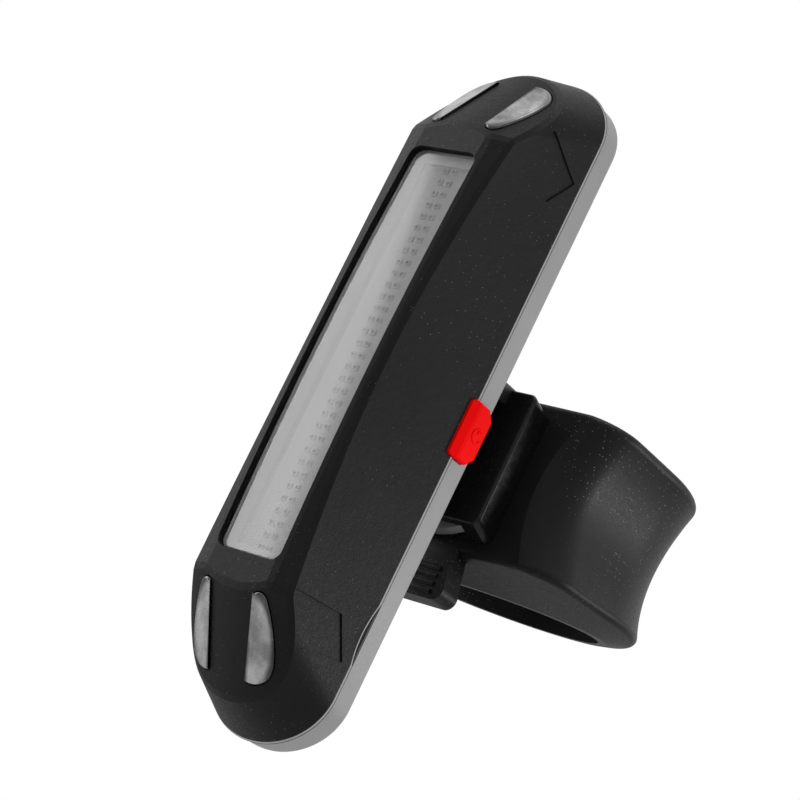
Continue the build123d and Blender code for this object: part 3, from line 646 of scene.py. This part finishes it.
class REARLIGHT_OT_button(RearLightOperator, Operator):
    """Finish the red button and raise its power symbol"""

    bl_idname = "rearlight.button"
    bl_label = "Button"

    def ring(self, middle):
        """Open ring: a small circle at the gap's edge, spun round the middle and closed at both ends."""
        sizes = self.sizes
        start = sizes.symbol_gap / 2
        edge = Vector((0, math.sin(start), math.cos(start))) * sizes.symbol_radius
        deselect()
        bpy.ops.mesh.primitive_circle_add(
            vertices=8, radius=sizes.symbol_line, location=middle + edge, rotation=(math.pi / 2 - start, 0, 0),
        )
        ring = bpy.context.object
        bpy.ops.object.transform_apply(location=True, rotation=True, scale=True)
        bpy.ops.object.mode_set(mode="EDIT")
        bpy.ops.mesh.select_all(action="SELECT")
        bpy.ops.mesh.spin(steps=28, angle=2 * math.pi - sizes.symbol_gap, center=middle, axis=(-1, 0, 0))
        bpy.ops.mesh.select_all(action="SELECT")
        bpy.ops.mesh.remove_doubles(threshold=0.01 * MM)
        bpy.ops.mesh.select_all(action="DESELECT")
        bpy.ops.mesh.select_non_manifold(extend=False)
        bpy.ops.mesh.edge_face_add()
        bpy.ops.mesh.select_all(action="SELECT")
        bpy.ops.mesh.normals_make_consistent(inside=False)
        bpy.ops.object.mode_set(mode="OBJECT")
        return ring

    def bar(self, middle):
        """Upright bar that stands in the gap of the ring."""
        sizes = self.sizes
        deselect()
        bpy.ops.mesh.primitive_cylinder_add(
            vertices=8, radius=sizes.symbol_line, depth=sizes.symbol_radius,
            location=middle + Vector((0, 0, sizes.symbol_radius * 0.75)),
        )
        bar = bpy.context.object
        bevel(bar, sizes.symbol_line * 0.6)
        return bar

    def execute(self, context):
        red = finish(
            "Button red", self.colours.button, drift=0.04, drift_scale=120, grain=0.006, grain_scale=5200,
            smooth=0.42, rough=0.55, Specular_IOR_Level=0.02,
        )
        give(red, "power_button")
        middle = Vector((
            BUTTON_HIGH.x, BUTTON_HIGH.y - self.sizes.symbol_inset, (BUTTON_LOW.z + BUTTON_HIGH.z) / 2,
        ))
        symbol = join([self.ring(middle), self.bar(middle)])
        settle(symbol, "power_symbol", "power_button", red)
        bpy.ops.object.shade_smooth()
        return {"FINISHED"}


class REARLIGHT_OT_screws(RearLightOperator, Operator):
    """Model the screws with cross recesses in their heads"""

    bl_idname = "rearlight.screws"
    bl_label = "Screws"

    # Screws that stand at the corners of their node's box, and the side of the tip that the head is on
    headings = {"case_screws": 1, "clip_screws": 1, "board_screws": -1}

    def places(self, low, high):
        """X and Z of the screws in a box, to a tenth of a millimetre, because their circles are facetted."""
        radius = self.sizes.screw_head_radius
        across, along = (
            sorted({round(low[axis] + radius, 4), round(high[axis] - radius, 4)}, reverse=True) for axis in (0, 2)
        )
        return [(x, z) for x in across for z in along]

    def rod(self, place, radius, depth, vertices, edge, segments):
        """Cylinder along Y with rounded edges."""
        deselect()
        bpy.ops.mesh.primitive_cylinder_add(
            vertices=vertices, radius=radius, depth=depth, location=place, rotation=(math.pi / 2, 0, 0),
        )
        rod = bpy.context.object
        bevel(rod, edge, segments=segments, angle=60)
        return rod

    def cut_cross(self, head, top):
        """Cuts the cross recess into a head."""
        sizes = self.sizes
        for turn in (math.pi / 4, 3 * math.pi / 4):
            deselect()
            bpy.ops.mesh.primitive_cube_add(size=1, location=top, rotation=(0, turn, 0))
            cutter = bpy.context.object
            cutter.scale = (sizes.recess_length, 2 * sizes.recess_depth, sizes.recess_width)
            cut = head.modifiers.new("Recess", "BOOLEAN")
            cut.object = cutter
            cut.solver = "EXACT"
            apply_modifiers(head)
            bpy.data.objects.remove(cutter)

    def screw(self, tip, heading, shank):
        """One screw along Y with its tip at a point."""
        sizes = self.sizes
        along = Vector((0, heading, 0))
        head = self.rod(
            tip + along * (shank + sizes.screw_head_height / 2), sizes.screw_head_radius,
            sizes.screw_head_height, vertices=32, edge=0.35 * MM, segments=3,
        )
        self.cut_cross(head, tip + along * (shank + sizes.screw_head_height))
        stem = self.rod(
            tip + along * shank / 2, sizes.screw_radius, shank, vertices=20, edge=0.25 * MM, segments=2,
        )
        return join([head, stem])

    def execute(self, context):
        steel = finish(
            "Plated steel", self.colours.steel, drift=0.08, drift_scale=300, grain=0.003, smooth=0.22,
            rough=0.36, Metallic=1.0,
        )
        give(steel, "usb_socket")
        for name, heading in self.headings.items():
            low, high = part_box(name)
            tip = low.y if heading > 0 else high.y
            shank = high.y - low.y - self.sizes.screw_head_height
            made = [self.screw(Vector((x, tip, z)), heading, shank) for x, z in self.places(low, high)]
            group = settle(join(made), name + "_cross", "light_head", steel)
            bpy.ops.object.shade_smooth_by_angle(angle=math.radians(35))
            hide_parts(name)
        return {"FINISHED"}


class REARLIGHT_OT_inside(RearLightOperator, Operator):
    """Finish the battery, the boards and what is on them"""

    bl_idname = "rearlight.inside"
    bl_label = "Inside"

    # Material, colour, values of its finish, and the nodes that have it
    plastic = {"smooth": 0.35, "rough": 0.45}
    finishes = [
        (
            "Battery foil", (0.55, 0.55, 0.57),
            {"Metallic": 1.0, "smooth": 0.3, "rough": 0.45, "grain": 0.01}, ["battery"],
        ),
        (
            "Foam", (0.05, 0.05, 0.05),
            {"grain": 0.12, "grain_scale": 1800, "smooth": 0.85, "rough": 0.95}, ["battery_pad"],
        ),
        (
            "Board green", (0.015, 0.11, 0.05),
            {"drift": 0.2, "drift_scale": 500, "smooth": 0.25, "rough": 0.35}, ["main_board"],
        ),
        (
            "Chip black", (0.02, 0.02, 0.021),
            {"grain": 0.01, "smooth": 0.45, "rough": 0.6}, ["controller_chip", "switch_body"],
        ),
        (
            "Parts brown", (0.16, 0.12, 0.09),
            {"drift": 0.4, "drift_scale": 400, "smooth": 0.4, "rough": 0.6}, ["board_parts"],
        ),
        ("Plunger white", (0.7, 0.7, 0.68), plastic, ["switch_plunger"]),
        ("Lead red", (0.5, 0.01, 0.01), plastic, ["battery_leads"]),
        ("Lead black", (0.015, 0.015, 0.015), plastic, ["led_leads"]),
    ]

    def execute(self, context):
        for name, base, values, nodes in self.finishes:
            give(finish(name, base, **values), *nodes)
        return {"FINISHED"}


class REARLIGHT_OT_bracket(RearLightOperator, Operator):
    """Finish the glossy block and the rubber strap"""

    bl_idname = "rearlight.bracket"
    bl_label = "Bracket and strap"

    def execute(self, context):
        colours = self.colours
        gloss = finish(
            "Block gloss", colours.block, drift=0.1, grain=0.001, grain_scale=900, smooth=0.2, rough=0.3,
            Specular_IOR_Level=0.15,
        )
        rubber = finish(
            "Strap rubber", colours.strap, drift=0.2, drift_scale=45, grain=0.012, grain_scale=3000,
            smooth=0.4, rough=0.52, dust=colours.dust, dust_scale=3800, dust_amount=0.16,
            Specular_IOR_Level=0.11,
        )
        give(gloss, "bracket_base")
        give(rubber, "rubber_strap")
        return {"FINISHED"}


OPERATORS = [
    REARLIGHT_OT_effects, REARLIGHT_OT_stage, REARLIGHT_OT_front_shell, REARLIGHT_OT_window,
    REARLIGHT_OT_inlays, REARLIGHT_OT_rear_shell, REARLIGHT_OT_button, REARLIGHT_OT_screws,
    REARLIGHT_OT_inside, REARLIGHT_OT_bracket,
]


class REARLIGHT_PT_panel(Panel):
    """Sizes, colours and steps of the rear light"""

    bl_idname = "REARLIGHT_PT_panel"
    bl_label = "Rear light"
    bl_space_type = "VIEW_3D"
    bl_region_type = "UI"
    bl_category = "Rear light"

    def draw(self, context):
        layout, scene = self.layout, context.scene
        for group in (scene.rear_light_colours, scene.rear_light_sizes, scene.rear_light_stage):
            box = layout.box()
            for key in group.__annotations__:
                box.prop(group, key)
        for operator in OPERATORS:
            layout.operator(operator.bl_idname)


CLASSES = [RearLightColours, RearLightSizes, RearLightStage, *OPERATORS, REARLIGHT_PT_panel]


def register():
    for item in CLASSES:
        bpy.utils.register_class(item)
    bpy.types.Scene.rear_light_colours = PointerProperty(type=RearLightColours)
    bpy.types.Scene.rear_light_sizes = PointerProperty(type=RearLightSizes)
    bpy.types.Scene.rear_light_stage = PointerProperty(type=RearLightStage)


def unregister():
    del bpy.types.Scene.rear_light_stage
    del bpy.types.Scene.rear_light_sizes
    del bpy.types.Scene.rear_light_colours
    for item in reversed(CLASSES):
        bpy.utils.unregister_class(item)


def main():
    """Makes the whole light."""
    register()
    for operator in OPERATORS:
        group, name = operator.bl_idname.split(".")
        getattr(getattr(bpy.ops, group), name)()


if __name__ == "__main__":
    main()
